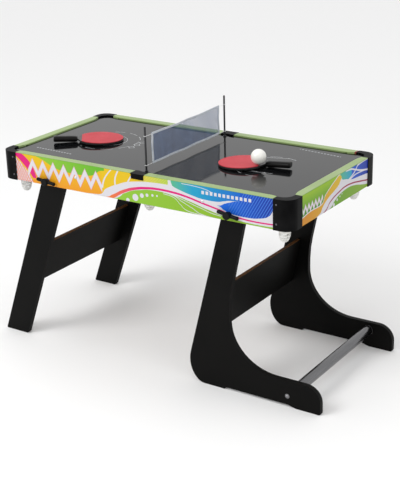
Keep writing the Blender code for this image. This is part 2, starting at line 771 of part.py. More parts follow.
def make_materials():
    return {
        "print": material("printed_board", (0.85, 0.86, 0.84), 0.35),
        "bed": material("bed_board", (0.35, 0.24, 0.14), 0.7),
        "cloth": material("green_cloth", (0.05, 0.30, 0.09), 0.95),
        "rail": material("lime_rail", (0.42, 0.60, 0.26), 0.55),
        "plastic": material("black_plastic", (0.012, 0.012, 0.013), 0.35),
        "bag": material("white_mesh", (0.80, 0.80, 0.80), 0.8),
        "leg": material("black_board", (0.012, 0.012, 0.011), 0.5),
        "steel": material("steel", (0.62, 0.62, 0.64), 0.25, 1.0),
        "tube": material("tube_chrome", (0.45, 0.45, 0.46), 0.22, 1.0),
        "board": material("gloss_black_board", (0.02, 0.02, 0.022), 0.06),
        "post": material("post_black", (0.02, 0.02, 0.02), 0.4),
        "tennis_net": material("net_blue", (0.10, 0.14, 0.22), 0.8),
        "plywood": material("paddle_plywood", (0.03, 0.03, 0.03), 0.3),
        "red_rubber": material("red_rubber", (0.72, 0.07, 0.09), 0.45),
        "black_rubber": material("black_rubber", (0.02, 0.02, 0.02), 0.5),
        "grip": material("grip_black", (0.02, 0.02, 0.022), 0.4),
        "ball": material("ball_white", (0.85, 0.85, 0.83), 0.3),
    }


def build_table_box(surfaces):
    for side, word in ((-1, "front"), (1, "back")):
        make_apron(True, side, f"apron_{word}", surfaces["print"])
        corner = CAP_REACH + GAP
        inner = CASTING_HALF + GAP
        left_stop = MIDDLE_POCKET - inner
        right_start = MIDDLE_POCKET + inner
        make_long_rail(side, LEFT_END + corner, left_stop, False, f"rail_{word}_left", surfaces["rail"])
        make_long_rail(side, right_start, RIGHT_END - corner, True, f"rail_{word}_right", surfaces["rail"])
        make_side_casting(side, f"pocket_casting_{word}", surfaces["plastic"])
        for station, hand in zip(BEAM_STATIONS, ("left", "right")):
            make_apron_screw(side, station, f"apron_screw_{word}_{hand}", surfaces["steel"])
        for end, hand in ((-1, "left"), (1, "right")):
            make_corner_cap(end, side, f"corner_cap_{word}_{hand}", surfaces["plastic"])
    for end, hand in ((-1, "left"), (1, "right")):
        make_apron(False, end, f"apron_{hand}", surfaces["print"])
        make_end_rail(end, f"rail_{hand}", surfaces["rail"])
    make_bed("bed_panel", BED_UNDER, BED_TOP, surfaces["bed"])
    make_bed("bed_cloth", BED_TOP + GAP, CLOTH_TOP, surfaces["cloth"])
    for station, hand in zip(BEAM_STATIONS, ("left", "right")):
        make_beam(f"bed_beam_{hand}", station, surfaces["bed"])
    for name, x, y in pocket_centres():
        bottom = MIDDLE_NET_BOTTOM if name.endswith("middle") else CORNER_NET_BOTTOM
        make_ball_net(f"ball_net_{name}", x, y, bottom, surfaces["bag"])


def build_legs(surfaces):
    for side, word in ((-1, "front"), (1, "back")):
        make_straight_leg(side, f"straight_leg_{word}", surfaces["leg"])
        make_l_leg(side, f"l_leg_{word}", surfaces["leg"])
        make_leg_nut(side, LEFT_PIVOT, f"leg_nut_{word}_left", surfaces["steel"])
        make_leg_nut(side, RIGHT_PIVOT, f"leg_nut_{word}_right", surfaces["steel"])
    low, high = [(straight_leg_axis(z), z) for z in LEFT_PANEL]
    make_cross_panel(low, high, "cross_panel_left", surfaces["leg"])
    low, high = [(LEFT_END + x, z) for x, z in RIGHT_PANEL]
    make_cross_panel(low, high, "cross_panel_right", surfaces["leg"])
    make_foot_tube("foot_tube", surfaces["tube"])
    make_foot_bolt(-1, "foot_bolt_front", surfaces["steel"])
    make_foot_bolt(1, "foot_bolt_back", surfaces["steel"])


def build_knobs(surfaces):
    make_knob(-1, LEFT_PIVOT, -7, "t_knob_front_left", surfaces["plastic"])
    make_knob(-1, RIGHT_PIVOT, -10, "t_knob_front_right", surfaces["plastic"])
    make_knob(1, LEFT_PIVOT, 10, "t_knob_back_left", surfaces["plastic"])
    make_knob(1, RIGHT_PIVOT, -6, "t_knob_back_right", surfaces["plastic"])


def build_board_and_play_pieces(surfaces):
    make_top_board("top_board", surfaces["board"])
    make_net_post(-1, "net_post_front", surfaces["post"])
    make_net_post(1, "net_post_back", surfaces["post"])
    make_tennis_net("tennis_net", surfaces["tennis_net"])
    make_paddle("left", paddle_frame(LEFT_END + 0.238, -SIDE + 0.286, 37.1), surfaces)
    right = paddle_frame(LEFT_END + 0.870, -SIDE + 0.276, 192.8)
    make_paddle("right", right, surfaces)
    make_ball(right, surfaces["ball"])


def main():
    clear_scene()
    surfaces = make_materials()
    build_table_box(surfaces)
    build_legs(surfaces)
    build_knobs(surfaces)
    build_board_and_play_pieces(surfaces)


main()
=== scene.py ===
import math

import bmesh
import bpy
from mathutils import Matrix, Vector


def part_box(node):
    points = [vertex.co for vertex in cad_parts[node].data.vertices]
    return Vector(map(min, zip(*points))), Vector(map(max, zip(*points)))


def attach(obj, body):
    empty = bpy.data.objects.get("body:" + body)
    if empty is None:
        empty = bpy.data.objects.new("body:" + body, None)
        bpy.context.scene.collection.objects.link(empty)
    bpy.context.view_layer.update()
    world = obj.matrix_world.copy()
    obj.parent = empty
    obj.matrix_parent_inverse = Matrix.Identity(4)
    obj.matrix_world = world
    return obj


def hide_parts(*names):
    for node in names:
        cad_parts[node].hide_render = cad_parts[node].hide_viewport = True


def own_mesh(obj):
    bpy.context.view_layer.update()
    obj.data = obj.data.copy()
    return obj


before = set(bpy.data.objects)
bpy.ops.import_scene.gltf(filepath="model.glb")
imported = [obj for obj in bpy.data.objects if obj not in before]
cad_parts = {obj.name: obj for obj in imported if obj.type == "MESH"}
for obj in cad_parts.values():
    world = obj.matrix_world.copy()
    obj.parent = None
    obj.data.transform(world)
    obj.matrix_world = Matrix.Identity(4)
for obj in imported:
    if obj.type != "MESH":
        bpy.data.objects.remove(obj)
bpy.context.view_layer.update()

# Stations shared with the solid model, in metres
LEFT_END = -0.6265
LENGTH = 1.22
RIGHT_END = LEFT_END + LENGTH
MIDDLE = LEFT_END + LENGTH / 2
SIDE = 0.305
APRON_BOTTOM = 0.636
APRON_HEIGHT = 0.1034
BOARD_TOP = 0.7355
RAIL_TOP = 0.7415
GAP = 0.0003
LEFT_PIVOT = (LEFT_END + 0.2125, 0.6535)
RIGHT_PIVOT = (LEFT_END + 0.988, 0.6595)
NET_STATION = MIDDLE + 0.009
POST_SIDE = SIDE - 0.0535
POST_RADIUS = 0.0035
NET_LOW = 0.7545
NET_HIGH = 0.8648
NET_NEAR = -0.2145
NET_FAR = 0.2145
RIGHT_PADDLE = (LEFT_END + 0.870, -SIDE + 0.276, 192.8)
LEFT_PADDLE = (LEFT_END + 0.238, -SIDE + 0.286, 37.1)
BLADE_LONG = 0.086
HANDLE_START = -0.086
BLADE_THICK = 0.0055
RUBBER_THICK = 0.002
GRIP_THICK = 0.023
RAIL_REACH = 0.036
BALL_RADIUS = 0.027

LIGHT_LEVEL = 1.4
FRONT_BACK = (("front", -1), ("back", 1))
LEFT_RIGHT = (("left", -1), ("right", 1))


# ---------------------------------------------------------------- shader graphs


class Field:
    """A number at every point of a surface, made of Math nodes."""

    def __init__(self, graph, socket):
        self.graph = graph
        self.socket = socket

    def __add__(self, other):
        return self.graph.math("ADD", self, other)

    def __sub__(self, other):
        return self.graph.math("SUBTRACT", self, other)

    def __mul__(self, other):
        return self.graph.math("MULTIPLY", self, other)

    def __truediv__(self, other):
        return self.graph.math("DIVIDE", self, other)

    def __radd__(self, other):
        return self + other

    def __rmul__(self, other):
        return self * other

    def __rsub__(self, other):
        return self.graph.math("SUBTRACT", other, self)

    def __lt__(self, other):
        return self.graph.math("LESS_THAN", self, other)

    def __gt__(self, other):
        return self.graph.math("GREATER_THAN", self, other)

    def __abs__(self):
        return self.graph.math("ABSOLUTE", self, 0.0)

    def __pow__(self, power):
        return self.graph.math("POWER", self, power)

    def __and__(self, other):
        return self.graph.math("MINIMUM", self, other)

    def __or__(self, other):
        return self.graph.math("MAXIMUM", self, other)

    def fraction(self):
        return self.graph.math("FRACT", self, 0.0)

    def sine(self):
        return self.graph.math("SINE", self, 0.0)


class Graph:
    """One node material with a Principled shader."""

    def __init__(self, name, roughness=0.5, metallic=0.0, **constants):
        self.material = bpy.data.materials.new(name)
        self.material.use_nodes = True
        self.tree = self.material.node_tree
        self.shader = self.tree.nodes["Principled BSDF"]
        self.shader.inputs["Roughness"].default_value = roughness
        self.shader.inputs["Metallic"].default_value = metallic
        for word, value in constants.items():
            self.shader.inputs[word.replace("_", " ")].default_value = value
        self.where = self.tree.nodes.new("ShaderNodeTexCoord").outputs["Object"]

    def plug(self, socket, value):
        if isinstance(value, Field):
            value = value.socket
        if isinstance(value, bpy.types.NodeSocket):
            self.tree.links.new(value, socket)
        elif isinstance(value, tuple):
            socket.default_value = (*value, 1.0)
        else:
            socket.default_value = value

    def math(self, operation, a, b):
        node = self.tree.nodes.new("ShaderNodeMath")
        node.operation = operation
        self.plug(node.inputs[0], a)
        self.plug(node.inputs[1], b)
        return Field(self, node.outputs[0])

    def axes(self):
        split = self.tree.nodes.new("ShaderNodeSeparateXYZ")
        self.tree.links.new(self.where, split.inputs[0])
        return [Field(self, split.outputs[i]) for i in range(3)]

    def noise(self, scale, detail=4.0, stretch=(1, 1, 1)):
        mapping = self.tree.nodes.new("ShaderNodeMapping")
        mapping.inputs["Scale"].default_value = stretch
        self.tree.links.new(self.where, mapping.inputs["Vector"])
        node = self.tree.nodes.new("ShaderNodeTexNoise")
        node.inputs["Scale"].default_value = scale
        node.inputs["Detail"].default_value = detail
        self.tree.links.new(mapping.outputs[0], node.inputs["Vector"])
        return Field(self, node.outputs[0])

    def curve(self, value, points):
        """A smooth function through (input, output) points, both from 0 to 1."""
        node = self.tree.nodes.new("ShaderNodeFloatCurve")
        self.plug(node.inputs["Value"], value)
        line = node.mapping.curves[0]
        line.points[0].location = points[0]
        line.points[1].location = points[-1]
        for point in points[1:-1]:
            line.points.new(*point)
        node.mapping.update()
        return Field(self, node.outputs[0])

    def mix(self, base, over, mask):
        node = self.tree.nodes.new("ShaderNodeMix")
        node.data_type = "RGBA"
        self.plug(node.inputs["Factor"], mask)
        self.plug(node.inputs["A"], base)
        self.plug(node.inputs["B"], over)
        return node.outputs["Result"]

    def ramp(self, value, low, high, first, last):
        """A colour that runs from first to last as the value goes from low to high."""
        share = ((value - low) / (high - low)) & 1.0
        return self.mix(first, last, share | 0.0)

    def bump(self, height, strength=0.2, distance=0.0004):
        node = self.tree.nodes.new("ShaderNodeBump")
        node.inputs["Strength"].default_value = strength
        node.inputs["Distance"].default_value = distance
        self.plug(node.inputs["Height"], height)
        self.tree.links.new(node.outputs[0], self.shader.inputs["Normal"])

    def colour(self, value):
        self.plug(self.shader.inputs["Base Color"], value)

    def rough(self, value):
        self.plug(self.shader.inputs["Roughness"], value)


def srgb(red, green, blue):
    """The shader's linear values for a colour that should look like these display values when lit."""
    values = [c / 255 for c in (red, green, blue)]
    linear = [c / 12.92 if c <= 0.04045 else ((c + 0.055) / 1.055) ** 2.4 for c in values]
    return tuple(c / LIGHT_LEVEL for c in linear)


WHITE = srgb(230, 228, 234)
ORANGE = srgb(245, 160, 35)
YELLOW = srgb(240, 200, 25)
MAGENTA = srgb(232, 28, 128)
PINK = srgb(240, 150, 190)
LIME = srgb(150, 205, 60)
GREEN = srgb(108, 190, 45)
TEAL = srgb(92, 190, 150)
CYAN = srgb(30, 165, 208)
BLUE = srgb(18, 92, 212)
DEEP_BLUE = srgb(22, 52, 165)
SWOOSH_SPAN = 0.24


# ---------------------------------------------------------------- printed graphics


class Film:
    """A printed film on an apron. Distances run along it as its viewer sees it, and up it."""

    def __init__(self, name, span, along_from):
        self.graph = Graph(name, roughness=0.42, Specular_IOR_Level=0.20)
        self.x, self.y, self.z = self.graph.axes()
        self.span = span
        self.along = along_from(self.x, self.y)
        self.rise = (self.z - APRON_BOTTOM) / APRON_HEIGHT
        self.paint = WHITE

    def curve(self, points):
        """A height, as a share of the apron's, that changes along the film."""
        scaled = [(a / self.span, (b - APRON_BOTTOM) / APRON_HEIGHT) for a, b in points]
        return self.graph.curve(self.along / self.span, scaled)

    def slant(self, points):
        """A value that changes up the film."""
        return self.graph.curve(self.rise, points)

    def fade(self, low, high, first, last):
        return self.graph.ramp(self.along, low, high, first, last)

    def lay(self, colour, mask):
        self.paint = self.graph.mix(self.paint, colour, mask)

    def between(self, first, last):
        return (self.along > first) & (self.along < last)

    def stroke(self, points, thick, first, last):
        height = abs(self.rise - self.curve(points)) < thick / APRON_HEIGHT
        return height & self.between(first, last)

    def lay_spots(self, spots):
        """White round spots, given as (distance along, height, radius)."""
        for at, height, radius in spots:
            reach = ((self.along - at) ** 2.0) + ((self.z - height) ** 2.0)
            self.lay(WHITE, reach < radius * radius)

    def lay_zigzag(self, first, last, pitch, height, swing, half, rim):
        """A white zigzag ribbon with a pink rim."""
        tooth = abs((self.along / pitch).fraction() - 0.5) * 4.0 - 1.0
        reach = abs(self.z - (height + tooth * swing)) / half
        self.lay(PINK, (reach < rim) & self.between(first, last))
        self.lay(WHITE, (reach < 1.0) & self.between(first, last))

    def finish(self):
        """Fine film texture, and the raw board on the apron's inner side and lower edge."""
        g = self.graph
        grain = g.noise(900.0, 2.0)
        skin = 0.0006
        inside = (abs(self.y) < SIDE - skin) & (abs(self.x - MIDDLE) < LENGTH / 2 - skin)
        fibres = g.noise(60.0, 6.0, (1, 1, 4))
        raw = g.ramp(fibres, 0.35, 0.65, srgb(150, 118, 82), srgb(172, 138, 98))
        g.colour(g.mix(self.paint, raw, inside | (self.z < APRON_BOTTOM + 0.0004)))
        g.rough(grain * 0.10 + 0.36)
        g.bump(grain, 0.06, 0.0002)
        return g.material


def lay_cross_hatch(film):
    rising = ((film.along * 0.86 + film.z * 0.51) * 620.0).sine()
    falling = ((film.along * 0.86 - film.z * 0.51) * 620.0).sine()
    film.lay(srgb(240, 130, 95), ((rising > 0.45) | (falling > 0.75)) & (film.along < 0.165))


def lay_warm_field(film):
    """The orange and yellow field, its green band, white sickles and lime end."""
    g = film.graph
    floor = film.curve([
        (0, 0.637), (0.44, 0.640), (0.475, 0.664), (0.53, 0.690),
        (0.60, 0.711), (0.68, 0.720), (0.76, 0.722), (1.22, 0.70),
    ])
    start = film.slant([(0, 0.60), (0.3, 0.56), (0.6, 0.49), (1, 0.40)])
    warm = g.mix(g.ramp(film.rise, 0.0, 0.9, ORANGE, YELLOW), YELLOW, film.along > 0.462)
    field = (film.rise > floor) & ((film.along / SWOOSH_SPAN) > start) & (film.along < 0.745)
    film.lay(warm, field)

    band = film.curve([
        (0, 0.7394), (0.15, 0.7394), (0.19, 0.731), (0.24, 0.712), (0.30, 0.700),
        (0.38, 0.700), (0.43, 0.709), (0.47, 0.730), (1.22, 0.7394),
    ])
    film.lay(film.fade(0.18, 0.45, LIME, GREEN), (film.rise > band) & film.between(0.165, 0.475))

    for first, middle, last in ((0.466, 0.470, 0.505), (0.545, 0.520, 0.535), (0.560, 0.570, 0.600)):
        sickle = film.slant([(0, first), (0.55, middle), (1, last)])
        film.lay(WHITE, (abs(film.along - sickle) < 0.0032) & (film.rise > 0.3))

    hatch = ((film.along * 2.2 + film.z * 1.3) * 430.0).sine()
    film.lay(film.fade(0.62, 0.74, YELLOW, LIME), field & (film.along > 0.618))
    film.lay(srgb(232, 226, 110), field & (film.along > 0.63) & (hatch > 0.2))


def lay_swoosh(film):
    left = film.slant([(0, 0.62), (0.22, 0.58), (0.45, 0.50), (0.65, 0.41), (0.85, 0.30), (1, 0.17)])
    right = film.slant([(0, 0.66), (0.22, 0.66), (0.45, 0.63), (0.65, 0.58), (0.85, 0.50), (1, 0.40)])
    across = film.along / SWOOSH_SPAN
    film.lay(YELLOW, (across > left - 0.035) & (across < left) & (film.rise > 0.12))
    film.lay(MAGENTA, (across > left) & (across < right) & (film.rise > 0.18))


def lay_arc(film):
    """The white arc with its magenta stripe, over a lime hill."""
    arc_top = film.curve([
        (0, 0.636), (0.470, 0.6362), (0.504, 0.6485), (0.558, 0.676), (0.611, 0.693),
        (0.645, 0.699), (0.704, 0.704), (0.761, 0.7025), (0.818, 0.696), (0.873, 0.685),
        (0.952, 0.670), (1.029, 0.655), (1.104, 0.6525), (1.22, 0.663),
    ])
    hill_top = film.curve([
        (0, 0.636), (0.500, 0.636), (0.557, 0.662), (0.627, 0.685), (0.695, 0.693), (0.761, 0.690),
        (0.825, 0.679), (0.904, 0.661), (0.982, 0.6475), (1.089, 0.641), (1.22, 0.650),
    ])
    share = film.along / film.span
    thick = film.graph.curve(share, [(0, 0.16), (0.40, 0.15), (0.50, 0.095), (0.7, 0.065), (1, 0.045)])
    stripe = (film.rise < arc_top) & (film.rise > arc_top - thick) & (film.along > 0.470)
    film.lay(WHITE, (film.rise < arc_top) & film.between(0.47, 1.2))
    film.lay(film.fade(0.50, 0.62, srgb(246, 130, 60), MAGENTA), stripe)
    hill = film.fade(0.55, 0.95, LIME, srgb(146, 192, 44))
    film.lay(hill, (film.rise < hill_top) & (film.along > 0.500))
    for points in (
        [(0, 0.70), (0.728, 0.694), (0.80, 0.680), (0.873, 0.662), (0.951, 0.647), (1.22, 0.636)],
        [(0, 0.70), (0.736, 0.692), (0.80, 0.672), (0.841, 0.656), (0.904, 0.637), (1.22, 0.636)],
        [(0, 0.70), (0.744, 0.686), (0.792, 0.662), (0.84, 0.640), (1.22, 0.636)],
    ):
        film.lay(WHITE, film.stroke(points, 0.0011, 0.725, 0.955))
    film.lay_spots((
        (0.606, 0.655, 0.0125), (0.634, 0.666, 0.0080), (0.656, 0.671, 0.0060),
        (0.679, 0.674, 0.0046), (0.698, 0.675, 0.0036), (0.573, 0.640, 0.0075),
    ))


def lay_leaves(film):
    """The two blue leaves, the fine lines in the lower one and a row of white tiles."""
    g = film.graph
    leaf_low = film.curve([
        (0, 0.737), (0.755, 0.735), (0.762, 0.722), (0.794, 0.711), (0.842, 0.7005),
        (0.89, 0.694), (0.935, 0.694), (0.965, 0.700), (1.0, 0.7065), (1.22, 0.71),
    ])
    tip_low = film.curve([
        (0, 0.68), (0.942, 0.681), (0.967, 0.670), (1.013, 0.660), (1.059, 0.659),
        (1.104, 0.6645), (1.138, 0.678), (1.156, 0.702), (1.22, 0.737),
    ])
    tip_top = film.curve([
        (0, 0.68), (0.942, 0.682), (0.968, 0.692), (0.992, 0.7005), (1.02, 0.7075), (1.22, 0.71),
    ])
    sea = g.mix(film.fade(0.765, 0.845, TEAL, CYAN), film.fade(0.86, 1.06, CYAN, BLUE), film.along > 0.852)
    sea = g.mix(sea, film.fade(1.00, 1.15, BLUE, DEEP_BLUE), film.along > 1.03)
    inside_tip = (film.rise > tip_low) | (film.along < 1.02)
    film.lay(sea, (film.rise > leaf_low) & (film.along > 0.757) & inside_tip)

    fine = ((film.along * 1.0 - film.z * 0.6) * 640.0).sine() > 0.55
    lower = film.fade(0.95, 1.14, srgb(14, 110, 236), DEEP_BLUE)
    lower = g.mix(lower, srgb(70, 130, 225), fine & (film.along > 0.985))
    film.lay(lower, (film.rise > tip_low) & (film.rise < tip_top) & (film.along > 0.942))
    film.lay(lower, (film.rise > tip_low) & (film.along > 1.035) & fine)

    edge = [(0, 0.737), (0.80, 0.7355), (0.85, 0.7345), (0.89, 0.731), (0.93, 0.722), (1.22, 0.70)]
    film.lay(WHITE, film.stroke(edge, 0.0010, 0.80, 0.925))
    tile = ((film.along - 0.880) / 0.0165).fraction() < 0.62
    row = abs(film.z - 0.7185 - (film.along - 0.98) * 0.01) < 0.0058
    film.lay(WHITE, tile & row & film.between(0.880, 1.078))


def long_print(name, side):
    """The long aprons' film, from the left end as that side's viewer sees it."""
    film = Film(name, LENGTH, lambda x, y: x - LEFT_END if side < 0 else RIGHT_END - x)
    lay_cross_hatch(film)
    lay_warm_field(film)
    lay_swoosh(film)
    level = 0.690 - (film.along - 0.29) * 0.015
    film.lay_zigzag(0.122, 0.4615, 0.0485, level, 0.0225, 0.0130, 1.22)
    lay_arc(film)
    lay_leaves(film)
    return film.finish()


def lay_end_band(film):
    """The orange band that rises from the zigzag to the top edge, on white."""
    upper = film.curve([
        (0, 0.655), (0.072, 0.662), (0.127, 0.669), (0.200, 0.669), (0.226, 0.692),
        (0.26, 0.710), (0.305, 0.729), (0.33, 0.737), (0.61, 0.7372),
    ])
    lower = film.curve([
        (0, 0.636), (0.15, 0.636), (0.192, 0.642), (0.209, 0.658), (0.252, 0.681),
        (0.297, 0.694), (0.324, 0.704), (0.36, 0.728), (0.61, 0.737),
    ])
    film.lay(WHITE, film.rise < upper + 0.035)
    orange = film.fade(0.10, 0.32, srgb(222, 148, 28), srgb(228, 190, 46))
    film.lay(orange, (film.rise < upper) & (film.rise > lower))


def lay_end_sky(film):
    """The blue corner with its crossing white strokes."""
    sky_low = film.curve([
        (0, 0.737), (0.335, 0.735), (0.350, 0.716), (0.384, 0.708), (0.417, 0.698),
        (0.479, 0.692), (0.61, 0.680),
    ])
    near = film.fade(0.34, 0.42, TEAL, CYAN)
    sky = film.graph.mix(near, film.fade(0.42, 0.54, BLUE, DEEP_BLUE), film.along > 0.42)
    film.lay(sky, (film.rise > sky_low) & (film.along > 0.335))
    for points, thick in (
        ([(0, 0.737), (0.40, 0.737), (0.444, 0.726), (0.484, 0.713), (0.545, 0.700), (0.61, 0.69)], 0.0030),
        ([(0, 0.69), (0.38, 0.700), (0.431, 0.713), (0.455, 0.728), (0.47, 0.737), (0.61, 0.737)], 0.0032),
        ([(0, 0.69), (0.40, 0.700), (0.45, 0.707), (0.489, 0.706), (0.545, 0.702), (0.61, 0.70)], 0.0022),
    ):
        film.lay(WHITE, film.stroke(points, thick, 0.375, 0.56))


def lay_end_hill(film):
    """The white arc with its dark red line, over a green hill with spots."""
    line = film.curve([
        (0, 0.636), (0.215, 0.636), (0.262, 0.661), (0.298, 0.673), (0.334, 0.680),
        (0.371, 0.685), (0.418, 0.683), (0.481, 0.673), (0.546, 0.661), (0.61, 0.65),
    ])
    hill = film.curve([
        (0, 0.636), (0.250, 0.636), (0.298, 0.657), (0.334, 0.669), (0.399, 0.675),
        (0.447, 0.669), (0.497, 0.657), (0.546, 0.647), (0.61, 0.64),
    ])
    film.lay(WHITE, (film.rise < line + 0.03) & (film.along > 0.215))
    film.lay(srgb(165, 48, 80), (abs(film.rise - line) < 0.026) & (film.along > 0.217))
    green = film.fade(0.28, 0.52, srgb(112, 170, 36), srgb(140, 178, 50))
    film.lay(green, (film.rise < hill) & (film.along > 0.250))
    film.lay_spots((
        (0.290, 0.643, 0.0068), (0.314, 0.655, 0.0048), (0.334, 0.661, 0.0034), (0.349, 0.666, 0.0026),
    ))


def end_print(name, hand):
    """The end aprons' film, from the front corner at the right end."""
    film = Film(name, 2 * SIDE, lambda x, y: y + SIDE if hand > 0 else SIDE - y)
    film.paint = film.graph.ramp(film.rise, 0.35, 0.95, srgb(62, 146, 32), srgb(156, 198, 34))
    film.lay_zigzag(0.074, 0.212, 0.0230, 0.687, 0.0105, 0.0068, 1.25)
    lay_end_band(film)
    lay_end_sky(film)
    lay_end_hill(film)
    return film.finish()


# ---------------------------------------------------------------- plain materials


def moulded_plastic(name, shade, roughness, grain=700.0, **constants):
    """Plastic with a fine spark-eroded grain and slightly uneven gloss."""
    g = Graph(name, roughness=roughness, **constants)
    spots = g.noise(grain, 3.0)
    broad = g.noise(14.0, 3.0)
    lighter = tuple(c * 1.5 + 0.004 for c in shade)
    g.colour(g.ramp(broad, 0.35, 0.7, shade, lighter))
    g.rough(broad * 0.16 + (roughness - 0.08))
    g.bump(spots, 0.18, 0.00025)
    return g.material


def leg_board():
    """Black melamine-faced board with a pore texture and a faint broad sheen."""
    g = Graph("leg_black_film", roughness=0.48, Specular_IOR_Level=0.08)
    pores = g.noise(420.0, 5.0, (1, 1, 0.25))
    broad = g.noise(6.0, 2.0)
    g.colour(g.ramp(broad, 0.3, 0.7, srgb(7, 7, 6), srgb(13, 12, 11)))
    g.rough(pores * 0.14 + 0.42)
    g.bump(pores, 0.22, 0.0003)
    return g.material


def panel_board(name, low, high):
    """The cross panel: black faces and a raw brown fibreboard edge along the top."""
    g = Graph(name, roughness=0.5, Specular_IOR_Level=0.08)
    x, _, z = g.axes()
    length = math.hypot(high[0] - low[0], high[1] - low[1])
    lean = ((high[0] - low[0]) / length, (high[1] - low[1]) / length)
    reach = (x - high[0]) * lean[0] + (z - high[1]) * lean[1]
    pores = g.noise(420.0, 5.0)
    fibres = g.noise(240.0, 6.0, (1, 0.2, 1))
    raw = g.ramp(fibres, 0.3, 0.7, srgb(78, 50, 28), srgb(120, 82, 48))
    edge = reach > -0.0006
    g.colour(g.mix(g.ramp(pores, 0.3, 0.7, srgb(7, 7, 6), srgb(13, 12, 11)), raw, edge))
    g.rough(pores * 0.14 + 0.44)
    g.bump(pores, 0.2, 0.0003)
    return g.material


def rail_material():
    """Lime film on top, and round the nose a deeper green that darkens to olive on its underside: painted
    shade on the nose.
    """
    g = Graph("rail_lime", roughness=0.36, Specular_IOR_Level=0.30)
    x, y, z = g.axes()
    broad = g.noise(9.0, 3.0)
    top = g.ramp(broad, 0.3, 0.7, srgb(166, 192, 122), srgb(176, 201, 136))
    inset_y = SIDE - abs(y)
    inset_x = LENGTH / 2 - abs(x - MIDDLE)
    inset = inset_x & inset_y
    # painted shade: the nose runs from olive at its underside up to a deeper green near its top
    nose = g.ramp(z, 0.7345, 0.7405, srgb(78, 92, 50), srgb(128, 152, 88))
    paint = g.mix(top, nose, inset > RAIL_REACH - 0.0038)
    end_mark = (x > RIGHT_END - 0.0725) & (y > SIDE - RAIL_REACH) & (z > BOARD_TOP)
    paint = g.mix(paint, srgb(150, 40, 44), end_mark)
    paint = g.mix(paint, srgb(120, 172, 74), (inset < 0.0008) & (z < RAIL_TOP - 0.0008))
    grain = g.noise(800.0, 2.0)
    g.colour(paint)
    g.rough(grain * 0.1 + 0.30)
    g.bump(grain, 0.08, 0.0002)
    return g.material


def board_material():
    """Gloss black lacquer with faint orange peel and thin white line marks."""
    g = Graph("board_gloss_black", roughness=0.05, IOR=1.34)
    x, y, z = g.axes()
    paint = g.ramp(g.noise(3.0, 2.0), 0.3, 0.7, srgb(15, 16, 18), srgb(22, 23, 25))
    across = x - LEFT_END
    level = z > BOARD_TOP - 0.0006

    def ring(at_along, at_y, radius, thick):
        reach = g.math("SQRT", ((across - at_along) ** 2.0) + ((y - at_y) ** 2.0), 0.0)
        return abs(reach - radius) < thick

    mark = srgb(214, 217, 220)
    for hand, middle in ((1, 0.262), (-1, LENGTH - 0.262)):
        inner = (across - middle) * hand
        dashes = (g.math("ARCTAN2", y, across - middle) * 11.0).sine() > -0.5
        paint = g.mix(paint, mark, ring(middle, 0.0, 0.118, 0.0010) & dashes & level & (inner > -0.05))
        paint = g.mix(paint, mark, ring(middle, 0.0, 0.070, 0.0008) & (inner > 0.0) & level)
        for offset in (-0.034, 0.0, 0.034):
            reach = abs(across - middle - hand * 0.131) + abs(y - offset)
            paint = g.mix(paint, mark, (abs(reach - 0.013) < 0.0014) & level)
    for first, last, y_first, y_last in ((0.076, 0.251, -0.202, -0.211), (0.949, 1.124, 0.240, 0.221)):
        slope = (y_last - y_first) / (last - first)
        line = abs(y - y_first - (across - first) * slope) < 0.0030
        ticks = ((across / 0.0135).fraction() < 0.62) & (across > first) & (across < last)
        paint = g.mix(paint, srgb(180, 183, 188), line & ticks & level)
    for first, last, y_first, y_last in ((0.876, 0.975, 0.085, 0.115), (0.865, 1.011, -0.085, -0.065)):
        slope = (y_last - y_first) / (last - first)
        line = abs(y - y_first - (across - first) * slope) < 0.0012
        paint = g.mix(paint, mark, line & (across > first) & (across < last) & level)
    rim = g.ramp(g.noise(90.0, 4.0), 0.3, 0.7, srgb(12, 12, 12), srgb(24, 22, 20))
    g.colour(g.mix(rim, paint, z > BOARD_TOP - 0.0010))
    peel = g.noise(160.0, 2.0)
    g.rough(g.noise(20.0, 3.0) * 0.04 + 0.045)
    g.bump(peel, 0.02, 0.0002)
    return g.material


def rubber_material(name, dark, light, roughness):
    """Sheet rubber: a soft sheen with a faint pattern of the pips beneath."""
    g = Graph(name, roughness=roughness, Specular_IOR_Level=0.10)
    x, y, _ = g.axes()
    pips = (x * 2600.0).sine() * (y * 2600.0).sine()
    g.colour(g.ramp(g.noise(18.0, 3.0), 0.3, 0.7, dark, light))
    g.rough(g.noise(60.0, 3.0) * 0.14 + (roughness - 0.07))
    g.bump(pips, 0.05, 0.0002)
    return g.material


def metal(name, shade, roughness, stretch=(1, 1, 1)):
    g = Graph(name, roughness=roughness, metallic=1.0)
    lines = g.noise(300.0, 4.0, stretch)
    brighter = tuple(min(1.0, c * 1.25) for c in shade)
    g.colour(g.ramp(lines, 0.3, 0.7, shade, brighter))
    g.rough(lines * 0.16 + (roughness - 0.08))
    g.bump(lines, 0.05, 0.0001)
    return g.material


def fibreboard():
    g = Graph("raw_fibreboard", roughness=0.8)
    fibres = g.noise(180.0, 7.0, (1, 1, 3))
    g.colour(g.ramp(fibres, 0.3, 0.7, srgb(128, 96, 62), srgb(168, 132, 92)))
    g.bump(fibres, 0.3, 0.0003)
    return g.material


def baize():
    g = Graph("green_baize", roughness=0.95, Sheen_Weight=0.6)
    nap = g.noise(1500.0, 3.0)
    g.colour(g.ramp(nap, 0.3, 0.7, srgb(18, 104, 44), srgb(30, 136, 60)))
    g.bump(nap, 0.4, 0.0004)
    return g.material


def textile(name, dark, light, scale=1800.0, sheen=0.3):
    """Yarn: a twist pattern, a slight colour change along it and a little sheen."""
    g = Graph(name, roughness=0.75, Sheen_Weight=sheen)
    x, y, z = g.axes()
    twist = ((x + y + z * 1.6) * scale).sine()
    broad = g.noise(40.0, 3.0)
    g.colour(g.mix(g.ramp(broad, 0.3, 0.7, dark, light), light, (twist > 0.6) * 0.4))
    g.bump(twist, 0.35, 0.0002)
    return g.material


